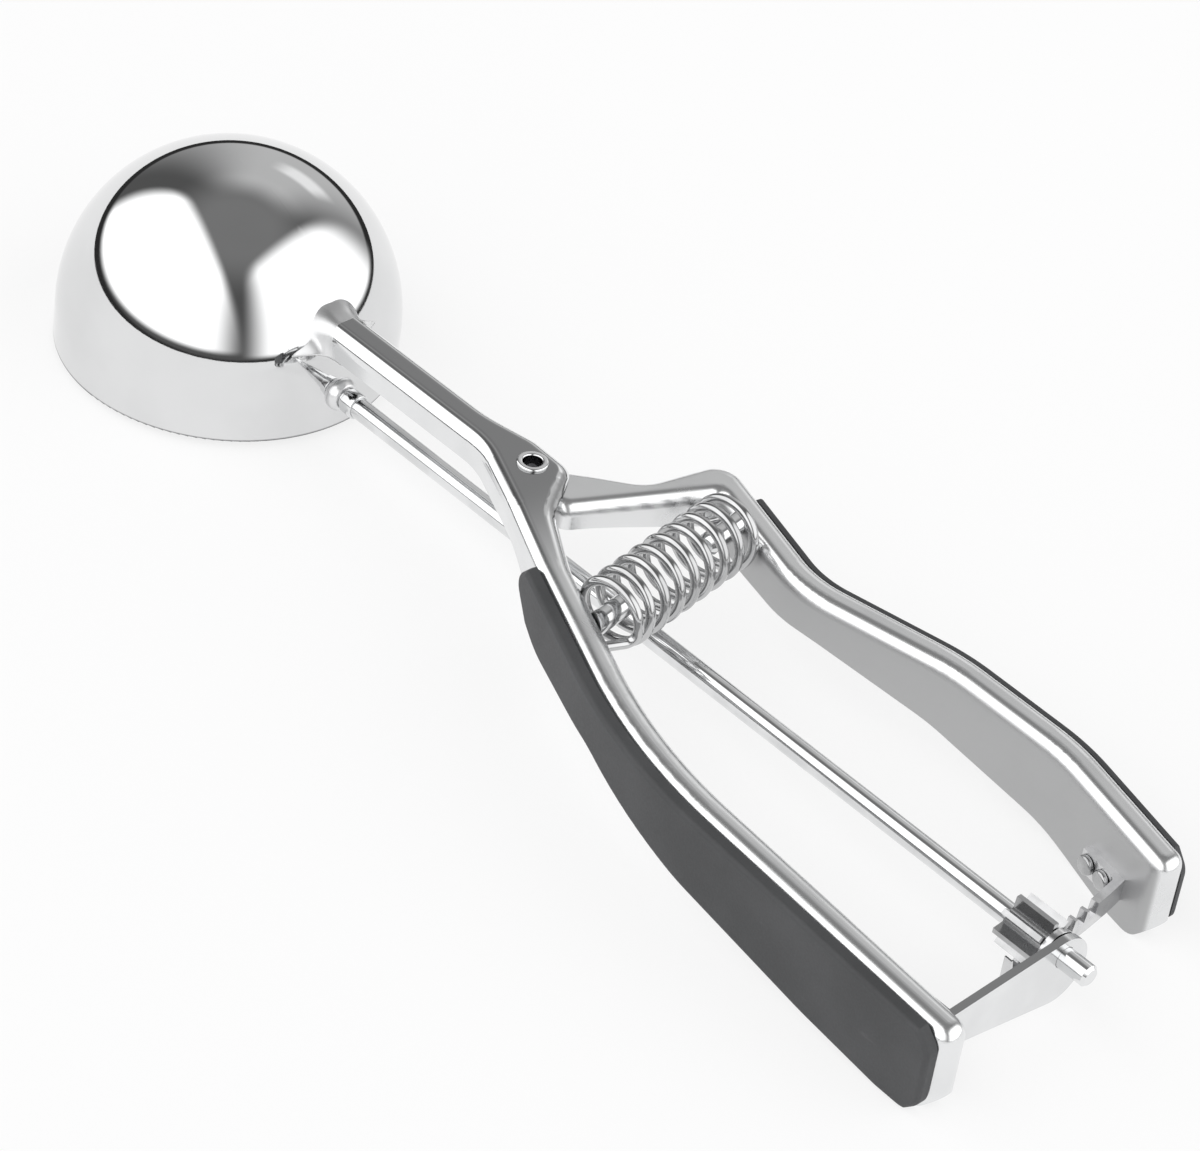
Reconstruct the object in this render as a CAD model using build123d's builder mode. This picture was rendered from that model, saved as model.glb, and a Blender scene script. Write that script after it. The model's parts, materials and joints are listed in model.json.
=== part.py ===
from build123d import *
import os
from math import acos, atan2, cos, degrees, hypot, pi, radians, sin, sqrt, tan

os.makedirs("parts", exist_ok=True)

# Driving dimensions, in millimetres and degrees.
# Lengths run from the middle of the bowl along the rod, heights from the rod's axis.
bowl_radius = 28.0
bowl_wall = 1.0
bowl_skirt = 6.3
rim_round = 0.3

rod_diameter = 3.5
rod_tail = 5.0
turning_play = 0.05
press_play = 0.01
end_play = 0.15

sheet = 1.2
bend = 2.6
lever_bend = 2.3
lever_bend_inside = 0.8
deck_height = 13.9
shank_width = 7.0
shank_depth = 5.0
pivot_reach = 71.4
rack_radius = 108.2
knee_ahead = 6.0
knee_radius = 40.0
handle_width = 5.6
handle_top = 3.9
handle_foot = 11.2
corner_round = 2.75

# The ear round the pivot: places before and ahead of it, and how far it widens the shank.
ear_start_before = 13.4
ear_front_before = 4.4
ear_front_side = 1.8
ear_rear_ahead = 4.2
ear_rear_side = 1.5
ear_start_bend = 24.0
ear_front_bend = 8.0
ear_rear_bend = 4.5

# Inner edge of the fixed handle from above: places ahead of the pivot, and to its right.
fixed_elbow_ahead = 10.8
fixed_elbow_side = 4.4
fixed_neck_ahead = 20.6
fixed_neck_side = 10.2
fixed_handle_ahead = 54.6
fixed_handle_side = 23.7
fixed_tail = 10.6
fixed_elbow_bend = 8.0
fixed_neck_bend = 20.0
fixed_handle_bend = 80.0
neck_shoulder = 3.7
neck_bend = 15.0

# Inner edge of the moving handle from above: places ahead of the pivot or before the rack, and to the left.
moving_elbow_ahead = 9.4
moving_elbow_drop = 1.2
hump_ahead = 18.9
hump_side = 22.0
waist_ahead = 41.1
waist_side = 16.7
swell_before_rack = 42.2
swell_side = 24.3
heel_before_rack = 20.5
heel_side = 25.8
moving_tail = 4.6
moving_end_side = 21.1
moving_elbow_bend = 3.0
hump_bend = 0.8
waist_bend = 22.0
swell_bend = 30.0
heel_bend = 30.0
elbow_bend = 8.0

# Lower edges of the side walls: places ahead of the pivot or before the rack, and heights.
shank_low_ahead = 8.6
fixed_neck_low_ahead = 24.6
fixed_neck_low = 2.3
ear_low_ahead = 10.6
ear_wall = 6.3
moving_neck_low_ahead = 25.4
moving_neck_low = 2.2
waist_low_ahead = 44.6
waist_low = 2.0
belly_before_rack = 39.6
belly_drop = 4.2
heel_low_before_rack = 13.6
heel_drop = 9.0
neck_low_bend = 14.0
waist_low_bend = 20.0
belly_bend = 50.0
foot_length = 6.0
foot_cut = 3.0
foot_rise = 6.0
foot_bend = 4.0

eyelet_bore = 3.0
eyelet_wall = 0.5
eyelet_head = 5.0
eyelet_rise = 0.5
pivot_washer_thickness = 0.4
pivot_play = 0.05
ear_radius = 4.7
ear_blend = 2.0
ear_room = 0.5
neck_angle = 45.0
neck_aside = 2.1
neck_run = 17.4
hump_corner_ahead = 13.5
hump_corner_bend = 4.6
pocket_ahead = 14.6
pocket_aside = 14.0

fixed_grip_thickness = 2.1
moving_grip_thickness = 1.3
fixed_grip_drop = 0.1
moving_grip_drop = 1.2
grip_lead = 2.3
grip_hump_lead = 4.8
grip_tail = 1.2
grip_corner = 2.4
grip_round = 0.8
grip_end_bend = 3.0
grip_lift = 0.2

spring_wire = 1.6
spring_coil = 10.8
spring_half_turns = 17
spring_height = 9.4
spring_at_fixed = 30.4
spring_at_moving = 24.6
spring_stand_fixed = 3.4
spring_stand_moving = 2.4
spring_end_bend = 2.0
spring_pin_diameter = 3.6
spring_pin_length = 8.0
spring_pin_chamfer = 0.6

tooth_count = 8
tooth_module = 0.9
pinion_root = 2.55
pinion_tip = 4.35
pinion_tooth_root_width = 1.35
pinion_tooth_tip_width = 0.85
pinion_lead = 3.7
pinion_length = 7.3
rear_washer_radius = 3.4
rear_washer_thickness = 1.0

rack_thickness = 1.4
rack_tip_clearance = 0.3
rack_depth = 2.15
rack_tooth_tip = 0.6
rack_tooth_base = 1.3
rack_gaps_before = 1
rack_gaps_after = 5
rack_tab_length = 7.4
rack_rivet_pitch = 3.6
rack_rivet_inset = 2.2
rivet_diameter = 2.0
rivet_head = 3.2
rivet_head_rise = 0.9

bracket_sheet = 1.3
bracket_lobe = 5.7
bracket_lobe_side = 0.4
bracket_lobe_drop = 2.6
bracket_root_top = 1.5
bracket_root_drop = 4.6
bracket_tab = 13.0
bracket_bend = 1.0
bracket_rivet_pitch = 6.0
bracket_rivet_inset = 3.4

saddle_sheet = 1.0
saddle_over = 0.3
saddle_drop = 7.9
saddle_collar_width = 7.8
saddle_ear_width = 10.8
saddle_ear_drop = 2.3
saddle_round = 0.55
saddle_foot_round = 2.4

bush_barrel = 2.2
bush_flange = 2.8
bush_nose = 2.2
bush_reach = 1.5
collar_radius = 2.1
collar_length = 2.6
collar_gap = 0.5

blade_gap = 0.5
blade_thickness = 0.8
blade_width = 9.0
hub_radius = 3.4
hub_length = 2.3
pin_radius = 1.5
pin_head_radius = 2.6
pin_head_rise = 1.1
pin_head_gap = 0.35
pin_collar_radius = 2.9
pin_collar_length = 1.6

# Places along the rod: the blade's hub inside the bowl, then the pinion, washer and bracket behind the rack.
blade_outer = bowl_radius - bowl_wall - blade_gap
blade_inner = blade_outer - blade_thickness
rod_start = blade_inner - hub_length
pinion_start = pivot_reach + rack_radius - pinion_lead
washer_start = pinion_start + pinion_length + end_play
bracket_start = washer_start + rear_washer_thickness + end_play
rod_end = bracket_start + bracket_sheet + rod_tail

# The scoop lies mouth down: the front of the rim and the rear ends of both handles touch the table.
fixed_length = rack_radius + fixed_tail
moving_length = rack_radius + moving_tail
fixed_end = pivot_reach + fixed_length
moving_end = pivot_reach + moving_length
lie = degrees(atan2(handle_foot - bowl_skirt, fixed_end + bowl_radius))
lift = bowl_radius * sin(radians(lie)) + bowl_skirt * cos(radians(lie))
pin_front = bowl_radius + pin_head_gap + pin_head_rise


def table(x):
    return -bowl_skirt - (x + bowl_radius) * tan(radians(lie))


# A chain of corners moved sideways by a distance, to the left of its travel, with mitred corners.
def beside(points, gap):
    moved = []
    for i, (x, y) in enumerate(points):
        before = points[i - 1] if i else points[0]
        after = points[i + 1] if i + 1 < len(points) else points[i]
        ways = []
        for start, stop in ((before, (x, y)), ((x, y), after)):
            length = hypot(stop[0] - start[0], stop[1] - start[1])
            if length:
                ways.append(((start[1] - stop[1]) / length, (stop[0] - start[0]) / length))
        nx = sum(way[0] for way in ways)
        ny = sum(way[1] for way in ways)
        share = gap / (nx * ways[0][0] + ny * ways[0][1])
        moved.append((x + nx * share, y + ny * share))
    return moved


# Radii of the bends of such a moved chain, so that both edges share their centres.
def beside_bends(points, bends, gap):
    radii = []
    for i, radius in enumerate(bends):
        if i == 0:
            radii.append(radius)
            continue
        before, here, after = points[i - 1], points[i], points[i + 1]
        turn = (here[0] - before[0]) * (after[1] - here[1]) - (here[1] - before[1]) * (after[0] - here[0])
        radii.append(radius - gap if turn > 0 else radius + gap)
    return radii


# The point on the line through two points at a given first coordinate.
def along(start, stop, x):
    return (x, start[1] + (stop[1] - start[1]) * (x - start[0]) / (stop[0] - start[0]))


# The point where the line through a and b meets the line through c and d.
def crossing(a, b, c, d):
    ab = (b[0] - a[0], b[1] - a[1])
    cd = (d[0] - c[0], d[1] - c[1])
    share = ((c[0] - a[0]) * cd[1] - (c[1] - a[1]) * cd[0]) / (ab[0] * cd[1] - ab[1] * cd[0])
    return (a[0] + ab[0] * share, a[1] + ab[1] * share)


# Bend radii of a chain of corners, each limited by the length of the straight pieces beside it.
def eased(points, radii):
    limited = []
    for i, radius in enumerate(radii):
        before, here, after = points[i - 1], points[i], points[(i + 1) % len(points)]
        first = Vector(here[0] - before[0], here[1] - before[1])
        last = Vector(after[0] - here[0], after[1] - here[1])
        half_turn = radians(first.get_angle(last)) / 2
        limited.append(min(radius, min(first.length, last.length) * 0.48 / tan(half_turn)) if radius else 0)
    return limited


fixed_line = [
    (fixed_elbow_ahead, -fixed_elbow_side), (fixed_neck_ahead, -fixed_neck_side),
    (fixed_handle_ahead, -fixed_handle_side), (fixed_length, -fixed_handle_side),
]
fixed_bends = [fixed_elbow_bend, fixed_neck_bend, fixed_handle_bend]
moving_line = [
    (moving_elbow_ahead, -moving_elbow_drop), (hump_ahead, hump_side), (waist_ahead, waist_side),
    (rack_radius - swell_before_rack, swell_side), (rack_radius - heel_before_rack, heel_side),
    (moving_length, moving_end_side),
]
moving_bends = [moving_elbow_bend, hump_bend, waist_bend, swell_bend, heel_bend]
ear_line = [(-ear_start_before, 0), (-ear_front_before, ear_front_side), (ear_rear_ahead, ear_rear_side)]
ear_bends = [ear_start_bend, ear_front_bend, ear_rear_bend]
shared_low = [
    (waist_low_ahead, waist_low), (rack_radius - belly_before_rack, -belly_drop),
    (rack_radius - heel_low_before_rack, -heel_drop),
]
fixed_low = [
    (shank_low_ahead, deck_height - shank_depth), (fixed_neck_low_ahead, fixed_neck_low), *shared_low,
]
moving_low = [(ear_low_ahead, deck_height - ear_wall), (moving_neck_low_ahead, moving_neck_low), *shared_low]
low_bends = [neck_low_bend, neck_low_bend, waist_low_bend, belly_bend, belly_bend]
fixed_inner = [(pivot_reach + x, y) for x, y in fixed_line]
moving_inner = [(pivot_reach + x, y) for x, y in moving_line]
fixed_outer = beside(fixed_inner, -handle_width)
moving_outer = beside(moving_inner, handle_width)
fixed_outer_bends = beside_bends(fixed_inner, fixed_bends, -handle_width)
moving_outer_bends = beside_bends(moving_inner, moving_bends, handle_width)
half_shank = shank_width / 2
shank_root = bowl_radius / 2
ear_edge = [(pivot_reach + x, half_shank + y) for x, y in ear_line]
shoulder = (pivot_reach, -half_shank - neck_shoulder)
neck_root = crossing((0, -half_shank), (1, -half_shank), fixed_outer[1], shoulder)

# The frame of the model: origin under the middle of the scoop, rod along X, table at Z = 0.
widest = max(y for x, y in moving_outer) + moving_grip_thickness
narrowest = min(y for x, y in fixed_outer) - fixed_grip_thickness
seat = Plane(
    origin=(-(rod_end - pin_front) / 2 * cos(radians(lie)), -(widest + narrowest) / 2, lift),
    x_dir=(cos(radians(lie)), 0, sin(radians(lie))),
    z_dir=(-sin(radians(lie)), 0, cos(radians(lie))),
)
across = Plane(origin=seat.origin, x_dir=seat.y_dir, z_dir=seat.x_dir)
upright = Plane(origin=seat.origin, x_dir=seat.x_dir, z_dir=-seat.y_dir)
post = Axis(seat.origin, seat.z_dir)
shaft = Axis(seat.origin, seat.x_dir)
up = seat.z_dir
pivot_plane = Plane(origin=seat.from_local_coords((pivot_reach, 0, 0)), x_dir=seat.x_dir, z_dir=up)
pivot_side = Plane(origin=pivot_plane.origin, x_dir=seat.x_dir, z_dir=-seat.y_dir)
pivot_axis = Axis(pivot_plane.origin, up)
reach = 4 * bowl_radius

# Heights of the handle tops.
knee = pivot_reach + knee_ahead
moving_deck = deck_height - sheet - pivot_washer_thickness - pivot_play
top_slope = (deck_height - handle_top) / (fixed_end - knee)
moving_rear_top = handle_top + top_slope * (fixed_end - moving_end)
rod_radius = rod_diameter / 2
eyelet_radius = eyelet_bore / 2 + eyelet_wall


# Side outline of a handle: top edge, then lower edge back to the front, with its corner radii.
def side_outline(deck, end, rear_top, low, front_low, raised):
    over = end + corner_round
    corners = [(pivot_reach + x, z + raised) for x, z in low]
    top = [(0, deck), (knee, deck), along((knee, deck), (end, rear_top), over)]
    foot_stop = end - foot_cut
    foot_start = foot_stop - foot_length
    foot = [(over, table(end) + foot_rise + raised)]
    foot += [(x, table(x) + raised) for x in (foot_stop, foot_start)]
    points = top + foot + corners[::-1] + [(0, front_low + raised)]
    return points, eased(points, [0, knee_radius, 0, 0, foot_bend, foot_bend] + low_bends[::-1] + [0])


# Top face and wall edges that the press rounds over.
def pressed_edges(part):
    tops = part.faces().filter_by(lambda face: face.normal_at().dot(up) > 0.9)
    walls = part.faces().filter_by(lambda face: abs(face.normal_at().dot(up)) < 0.2)
    return tops.edges() & walls.edges()


fixed_plan = (
    [(shank_root, half_shank)] + ear_edge + fixed_inner
    + fixed_outer[:0:-1] + [neck_root, (shank_root, -half_shank)]
)
fixed_plan_radii = eased(
    fixed_plan,
    [0] + ear_bends + fixed_bends + [corner_round, corner_round] + fixed_outer_bends[:0:-1] + [neck_bend, 0],
)
fixed_low_front = deck_height - shank_depth
fixed_side = side_outline(deck_height, fixed_end, handle_top, fixed_low, fixed_low_front, 0)
fixed_under = side_outline(deck_height - sheet, fixed_end, handle_top - sheet, fixed_low, fixed_low_front, 0)

# Where the bracket's tab lies on the fixed handle's inner wall.
bracket_middle = (bracket_root_top - bracket_root_drop) / 2
bracket_rivets = Plane(
    origin=seat.from_local_coords((bracket_start, fixed_inner[-1][1], bracket_middle)),
    x_dir=-seat.x_dir,
    z_dir=seat.y_dir,
)

# Hollow of the fixed handle, the outer shape drawn in by the sheet.
with BuildPart() as fixed_hollow:
    with BuildSketch(seat.offset(-reach)):
        with BuildLine():
            FilletPolyline(*fixed_plan, radius=fixed_plan_radii, close=True)
        make_face()
        offset(amount=-sheet)
    extrude(amount=2 * reach)
    with BuildSketch(upright):
        with BuildLine():
            FilletPolyline(
                *fixed_under[0][:3], (fixed_end + corner_round, -reach), (0, -reach),
                radius=fixed_under[1][:3] + [0, 0], close=True,
            )
        make_face()
    extrude(amount=reach, both=True, mode=Mode.INTERSECT)
    fillet(pressed_edges(fixed_hollow), radius=bend - sheet)

# Shank, ear, gooseneck and handle, pressed from one sheet.
with BuildPart() as fixed_handle:
    with BuildSketch(seat.offset(-reach)):
        with BuildLine():
            FilletPolyline(*fixed_plan, radius=fixed_plan_radii, close=True)
        make_face()
    extrude(amount=2 * reach)
    with BuildSketch(upright):
        with BuildLine():
            FilletPolyline(*fixed_side[0], radius=fixed_side[1], close=True)
        make_face()
    extrude(amount=reach, both=True, mode=Mode.INTERSECT)
    fillet(pressed_edges(fixed_handle), radius=bend)
    add(fixed_hollow.part, mode=Mode.SUBTRACT)
    # The ear stays open below and to the side for the other handle's neck.
    with BuildSketch(pivot_plane.offset(deck_height - sheet)):
        Circle(ear_radius + ear_room)
        with Locations((0, -ear_radius - ear_room)):
            Rectangle(pocket_ahead, ear_radius + ear_room + pocket_aside, align=(Align.MIN, Align.MIN))
    extrude(amount=-reach, mode=Mode.SUBTRACT)
    with BuildSketch(pivot_plane.offset(deck_height)):
        Circle(eyelet_radius + press_play)
    extrude(amount=-2 * sheet, mode=Mode.SUBTRACT)
    with Locations(seat):
        Sphere(bowl_radius + saddle_sheet, mode=Mode.SUBTRACT)
    with Locations(bracket_rivets):
        with Locations((bracket_rivet_inset, 0), (bracket_rivet_inset + bracket_rivet_pitch, 0)):
            Cylinder(rivet_diameter / 2 + press_play, 4 * sheet, mode=Mode.SUBTRACT)
fixed_handle.part.label = "fixed_handle"
export_step(fixed_handle.part, "parts/fixed_handle.step")

# Plan of the moving handle: the ear's tangent, the inner edge, the end, the outer edge and the neck.
elbow_away = hypot(*moving_line[0])
tangent_turn = atan2(moving_line[0][1], moving_line[0][0]) - acos(ear_radius / elbow_away)
ear_tangent = (pivot_reach + ear_radius * cos(tangent_turn), ear_radius * sin(tangent_turn))
neck_way = (cos(radians(neck_angle)), sin(radians(neck_angle)))
neck_foot = (pivot_reach - neck_aside * neck_way[1], neck_aside * neck_way[0])
neck_elbow = (neck_foot[0] + neck_run * neck_way[0], neck_foot[1] + neck_run * neck_way[1])
hump_corner = along(moving_outer[1], moving_outer[2], pivot_reach + hump_corner_ahead)
moving_chain = [ear_tangent] + moving_inner + moving_outer[:1:-1] + [hump_corner, neck_elbow, neck_foot]
moving_chain_bends = (
    [0] + moving_bends + [corner_round, corner_round]
    + moving_outer_bends[:1:-1] + [hump_corner_bend, elbow_bend]
)
moving_plan = [(pivot_reach, 0)] + moving_chain
moving_plan_radii = eased(moving_plan, [0] + moving_chain_bends + [0])
hollow_plan = [(pivot_reach, 0)] + beside(moving_chain, sheet)
hollow_plan_radii = eased(hollow_plan, [0] + beside_bends(moving_chain, moving_chain_bends, sheet) + [0])


# Where the neck's outer edge leaves the round ear, for an edge that far from the pivot.
def ear_notch(radius, aside):
    run = sqrt(radius ** 2 - aside ** 2)
    return (pivot_reach - aside * neck_way[1] + run * neck_way[0], aside * neck_way[0] + run * neck_way[1])


moving_low_front = moving_low[0][1]
moving_side = side_outline(moving_deck, moving_end, moving_rear_top, moving_low, moving_low_front, 0)
moving_under = side_outline(
    moving_deck - sheet, moving_end, moving_rear_top - sheet, moving_low, moving_low_front, 0
)

# The wall that carries the rack, and the point where the rack's middle line meets it.
wall_start, wall_stop = moving_line[-2], moving_line[-1]
wall_length = hypot(wall_stop[0] - wall_start[0], wall_stop[1] - wall_start[1])
wall_way = ((wall_stop[0] - wall_start[0]) / wall_length, (wall_stop[1] - wall_start[1]) / wall_length)
wall_normal = (wall_way[1], -wall_way[0])
wall_dot = wall_start[0] * wall_way[0] + wall_start[1] * wall_way[1]
wall_away = sqrt(wall_dot ** 2 - hypot(*wall_start) ** 2 + rack_radius ** 2) - wall_dot
rack_foot = (wall_start[0] + wall_way[0] * wall_away, wall_start[1] + wall_way[1] * wall_away)
rack_foot_turn = degrees(atan2(rack_foot[1], rack_foot[0]))
rack_pitch = pi * tooth_module
rack_tip = -(pinion_root + rack_tip_clearance)
rack_valley = -(pinion_tip + rack_tip_clearance)
rack_low = rack_valley - rack_depth
rack_rivets = Plane(
    origin=pivot_plane.from_local_coords((rack_foot[0], rack_foot[1], (rack_tip + rack_low) / 2)),
    x_dir=-(wall_way[0] * seat.x_dir + wall_way[1] * seat.y_dir),
    z_dir=wall_normal[0] * seat.x_dir + wall_normal[1] * seat.y_dir,
)

# Hollow of the moving handle.
with BuildPart() as moving_hollow:
    with BuildSketch(seat.offset(-reach)) as moving_hollow_plan:
        with BuildLine():
            FilletPolyline(*hollow_plan, radius=hollow_plan_radii, close=True)
        make_face()
        with Locations((pivot_reach, 0)):
            Circle(ear_radius - sheet)
        notch = ear_notch(ear_radius - sheet, neck_aside - sheet)
        fillet(moving_hollow_plan.vertices().sort_by_distance(notch)[0], radius=ear_blend + sheet)
    extrude(amount=2 * reach)
    with BuildSketch(upright):
        with BuildLine():
            FilletPolyline(
                *moving_under[0][:3], (moving_end + corner_round, -reach), (0, -reach),
                radius=moving_under[1][:3] + [0, 0], close=True,
            )
        make_face()
    extrude(amount=reach, both=True, mode=Mode.INTERSECT)
    fillet(pressed_edges(moving_hollow), radius=lever_bend_inside)

# Ear, neck, hump and handle of the lever, pressed from one sheet.
with BuildPart() as moving_handle:
    with BuildSketch(seat.offset(-reach)) as moving_handle_plan:
        with BuildLine():
            FilletPolyline(*moving_plan, radius=moving_plan_radii, close=True)
        make_face()
        with Locations((pivot_reach, 0)):
            Circle(ear_radius)
        notch = ear_notch(ear_radius, neck_aside)
        fillet(moving_handle_plan.vertices().sort_by_distance(notch)[0], radius=ear_blend)
    extrude(amount=2 * reach)
    with BuildSketch(upright):
        with BuildLine():
            FilletPolyline(*moving_side[0], radius=moving_side[1], close=True)
        make_face()
    extrude(amount=reach, both=True, mode=Mode.INTERSECT)
    fillet(pressed_edges(moving_handle), radius=lever_bend)
    add(moving_hollow.part, mode=Mode.SUBTRACT)
    with BuildSketch(pivot_plane.offset(moving_deck)):
        Circle(eyelet_radius + turning_play)
    extrude(amount=-2 * sheet, mode=Mode.SUBTRACT)
    with Locations(rack_rivets):
        with Locations((rack_rivet_inset, 0), (rack_rivet_inset + rack_rivet_pitch, 0)):
            Cylinder(rivet_diameter / 2 + press_play, 4 * sheet, mode=Mode.SUBTRACT)
moving_handle.part.label = "moving_handle"
export_step(moving_handle.part, "parts/moving_handle.step")

# Bowl: a half ball on a short straight skirt.
with BuildPart() as bowl:
    with BuildSketch(upright):
        with BuildLine():
            CenterArc((0, 0), bowl_radius, 0, 90)
            Polyline((0, bowl_radius), (0, bowl_radius - bowl_wall))
            CenterArc((0, 0), bowl_radius - bowl_wall, 0, 90)
            Polyline(
                (bowl_radius - bowl_wall, 0), (bowl_radius - bowl_wall, -bowl_skirt),
                (bowl_radius, -bowl_skirt), (bowl_radius, 0),
            )
        make_face()
    revolve(axis=post)
    fillet(bowl.edges().filter_by(GeomType.CIRCLE).group_by(Axis(seat.origin, up))[0], radius=rim_round)
    with BuildSketch(across):
        Circle(bush_barrel + press_play)
    extrude(amount=reach, mode=Mode.SUBTRACT)
    with BuildSketch(across):
        Circle(pin_radius + turning_play)
    extrude(amount=-reach, mode=Mode.SUBTRACT)
bowl.part.label = "bowl"
export_step(bowl.part, "parts/bowl.step")

# Saddle: the plate between shank and dome, with a tongue on each side.
with BuildPart() as dome_saddle:
    with Locations(seat):
        Sphere(bowl_radius + saddle_sheet)
        Sphere(bowl_radius + press_play, mode=Mode.SUBTRACT)
    with BuildSketch(across) as saddle_face:
        with Locations((0, deck_height - saddle_drop)):
            Rectangle(saddle_collar_width, saddle_drop + saddle_over, align=(Align.CENTER, Align.MIN))
            Rectangle(saddle_ear_width, saddle_drop - saddle_ear_drop, align=(Align.CENTER, Align.MIN))
        fillet(saddle_face.vertices().sort_by(Axis.Y)[2:], radius=saddle_round)
        fillet(saddle_face.vertices().sort_by(Axis.Y)[:2], radius=saddle_foot_round)
    extrude(amount=reach, mode=Mode.INTERSECT)
dome_saddle.part.label = "dome_saddle"
export_step(dome_saddle.part, "parts/dome_saddle.step")

# The bowl's outer form, which the bush is seated on.
with BuildPart() as bowl_form:
    with Locations(seat):
        Sphere(bowl_radius + press_play)
    with BuildSketch(seat):
        Circle(bowl_radius + press_play)
    extrude(amount=-bowl_skirt)

# Bush: a flanged bearing for the rod in the back of the bowl.
with BuildPart() as rod_bush:
    with BuildSketch(upright):
        with BuildLine():
            Polyline(
                (bowl_radius - bowl_wall, 0), (bowl_radius - bowl_wall, bush_flange),
                (bowl_radius + bowl_wall / 2, bush_flange), (bowl_radius + bush_reach, bush_nose),
                (bowl_radius + bush_reach, 0), close=True,
            )
        make_face()
    revolve(axis=shaft)
    add(bowl_form.part, mode=Mode.SUBTRACT)
    with BuildSketch(across.offset(bowl_radius - bowl_wall)):
        Circle(bush_barrel)
    extrude(amount=bowl_wall + bush_reach / 2)
    with BuildSketch(across):
        Circle(rod_radius + turning_play)
    extrude(amount=reach, mode=Mode.SUBTRACT)
rod_bush.part.label = "rod_bush"
export_step(rod_bush.part, "parts/rod_bush.step")

# Drive rod, with a stop collar behind the bush.
with BuildPart() as drive_rod:
    with BuildSketch(across.offset(rod_start)):
        Circle(rod_radius)
    extrude(amount=rod_end - rod_start)
    chamfer(drive_rod.edges().filter_by(GeomType.CIRCLE).sort_by(shaft)[-1], length=rod_radius / 4)
drive_rod.part.label = "drive_rod"
export_step(drive_rod.part, "parts/drive_rod.step")

with BuildPart() as rod_collar:
    with BuildSketch(across.offset(bowl_radius + bush_reach + collar_gap)):
        Circle(collar_radius)
        Circle(rod_radius + press_play, mode=Mode.SUBTRACT)
    extrude(amount=collar_length)
rod_collar.part.label = "rod_collar"
export_step(rod_collar.part, "parts/rod_collar.step")

# Blade: a half ring just inside the ball, with a round pad at each end.
with BuildPart() as blade_shell:
    with Locations(seat):
        Sphere(blade_outer)
        Sphere(blade_inner, mode=Mode.SUBTRACT)

with BuildPart() as sweep_blade:
    with BuildSketch(upright):
        Rectangle(3 * bowl_radius, blade_width)
    extrude(amount=reach)
    with BuildSketch(across):
        Circle(blade_width / 2)
    extrude(amount=reach, both=True)
    add(blade_shell.part, mode=Mode.INTERSECT)
    with BuildSketch(across):
        Circle(rod_radius + press_play)
    extrude(amount=reach, mode=Mode.SUBTRACT)
    with BuildSketch(across):
        Circle(pin_radius + press_play)
    extrude(amount=-reach, mode=Mode.SUBTRACT)
sweep_blade.part.label = "sweep_blade"
export_step(sweep_blade.part, "parts/sweep_blade.step")

with BuildPart() as blade_hub:
    with BuildSketch(across.offset(rod_start)):
        Circle(hub_radius)
        Circle(rod_radius + press_play, mode=Mode.SUBTRACT)
    extrude(amount=blade_outer - rod_start)
    with Locations(seat):
        Sphere(blade_inner - press_play, mode=Mode.INTERSECT)
blade_hub.part.label = "blade_hub"
export_step(blade_hub.part, "parts/blade_hub.step")

# Front pin, turning in the bowl's wall, and the collar that holds the blade on it.
pin_inside = blade_inner - pin_collar_length
with BuildPart() as front_pin:
    with BuildSketch(across.offset(-pin_inside)):
        Circle(pin_radius)
    extrude(amount=pin_inside - bowl_radius - pin_head_gap)
    with BuildSketch(across.offset(-bowl_radius - pin_head_gap)):
        Circle(pin_head_radius)
    extrude(amount=-pin_head_rise)
    fillet(front_pin.edges().filter_by(GeomType.CIRCLE).sort_by(shaft)[0], radius=pin_head_rise / 2)
front_pin.part.label = "front_pin"
export_step(front_pin.part, "parts/front_pin.step")

with BuildPart() as front_collar:
    with BuildSketch(across.offset(-pin_inside)):
        Circle(pin_collar_radius)
        Circle(pin_radius + press_play, mode=Mode.SUBTRACT)
    extrude(amount=pin_inside - blade_outer)
    with Locations(seat):
        Sphere(blade_inner - press_play, mode=Mode.INTERSECT)
front_collar.part.label = "front_collar"
export_step(front_collar.part, "parts/front_collar.step")

# Eyelet that the lever turns on, and the washer between the two ears.
eyelet_low = moving_deck - sheet - pivot_play
with BuildPart() as pivot_eyelet:
    with BuildSketch(pivot_side):
        with BuildLine():
            FilletPolyline(
                (eyelet_bore / 2, eyelet_low - eyelet_rise), (eyelet_head / 2, eyelet_low - eyelet_rise),
                (eyelet_head / 2, eyelet_low), (eyelet_radius, eyelet_low), (eyelet_radius, deck_height),
                (eyelet_head / 2, deck_height), (eyelet_head / 2, deck_height + eyelet_rise),
                (eyelet_bore / 2, deck_height + eyelet_rise),
                radius=[0, eyelet_rise / 2, 0, 0, 0, 0, eyelet_rise / 2, eyelet_rise / 2], close=True,
            )
        make_face()
    revolve(axis=pivot_axis)
pivot_eyelet.part.label = "pivot_eyelet"
export_step(pivot_eyelet.part, "parts/pivot_eyelet.step")

with BuildPart() as pivot_washer:
    with BuildSketch(pivot_plane.offset(deck_height - sheet)):
        Circle(ear_radius)
        Circle(eyelet_radius + press_play, mode=Mode.SUBTRACT)
    extrude(amount=-pivot_washer_thickness)
pivot_washer.part.label = "pivot_washer"
export_step(pivot_washer.part, "parts/pivot_washer.step")

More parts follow.
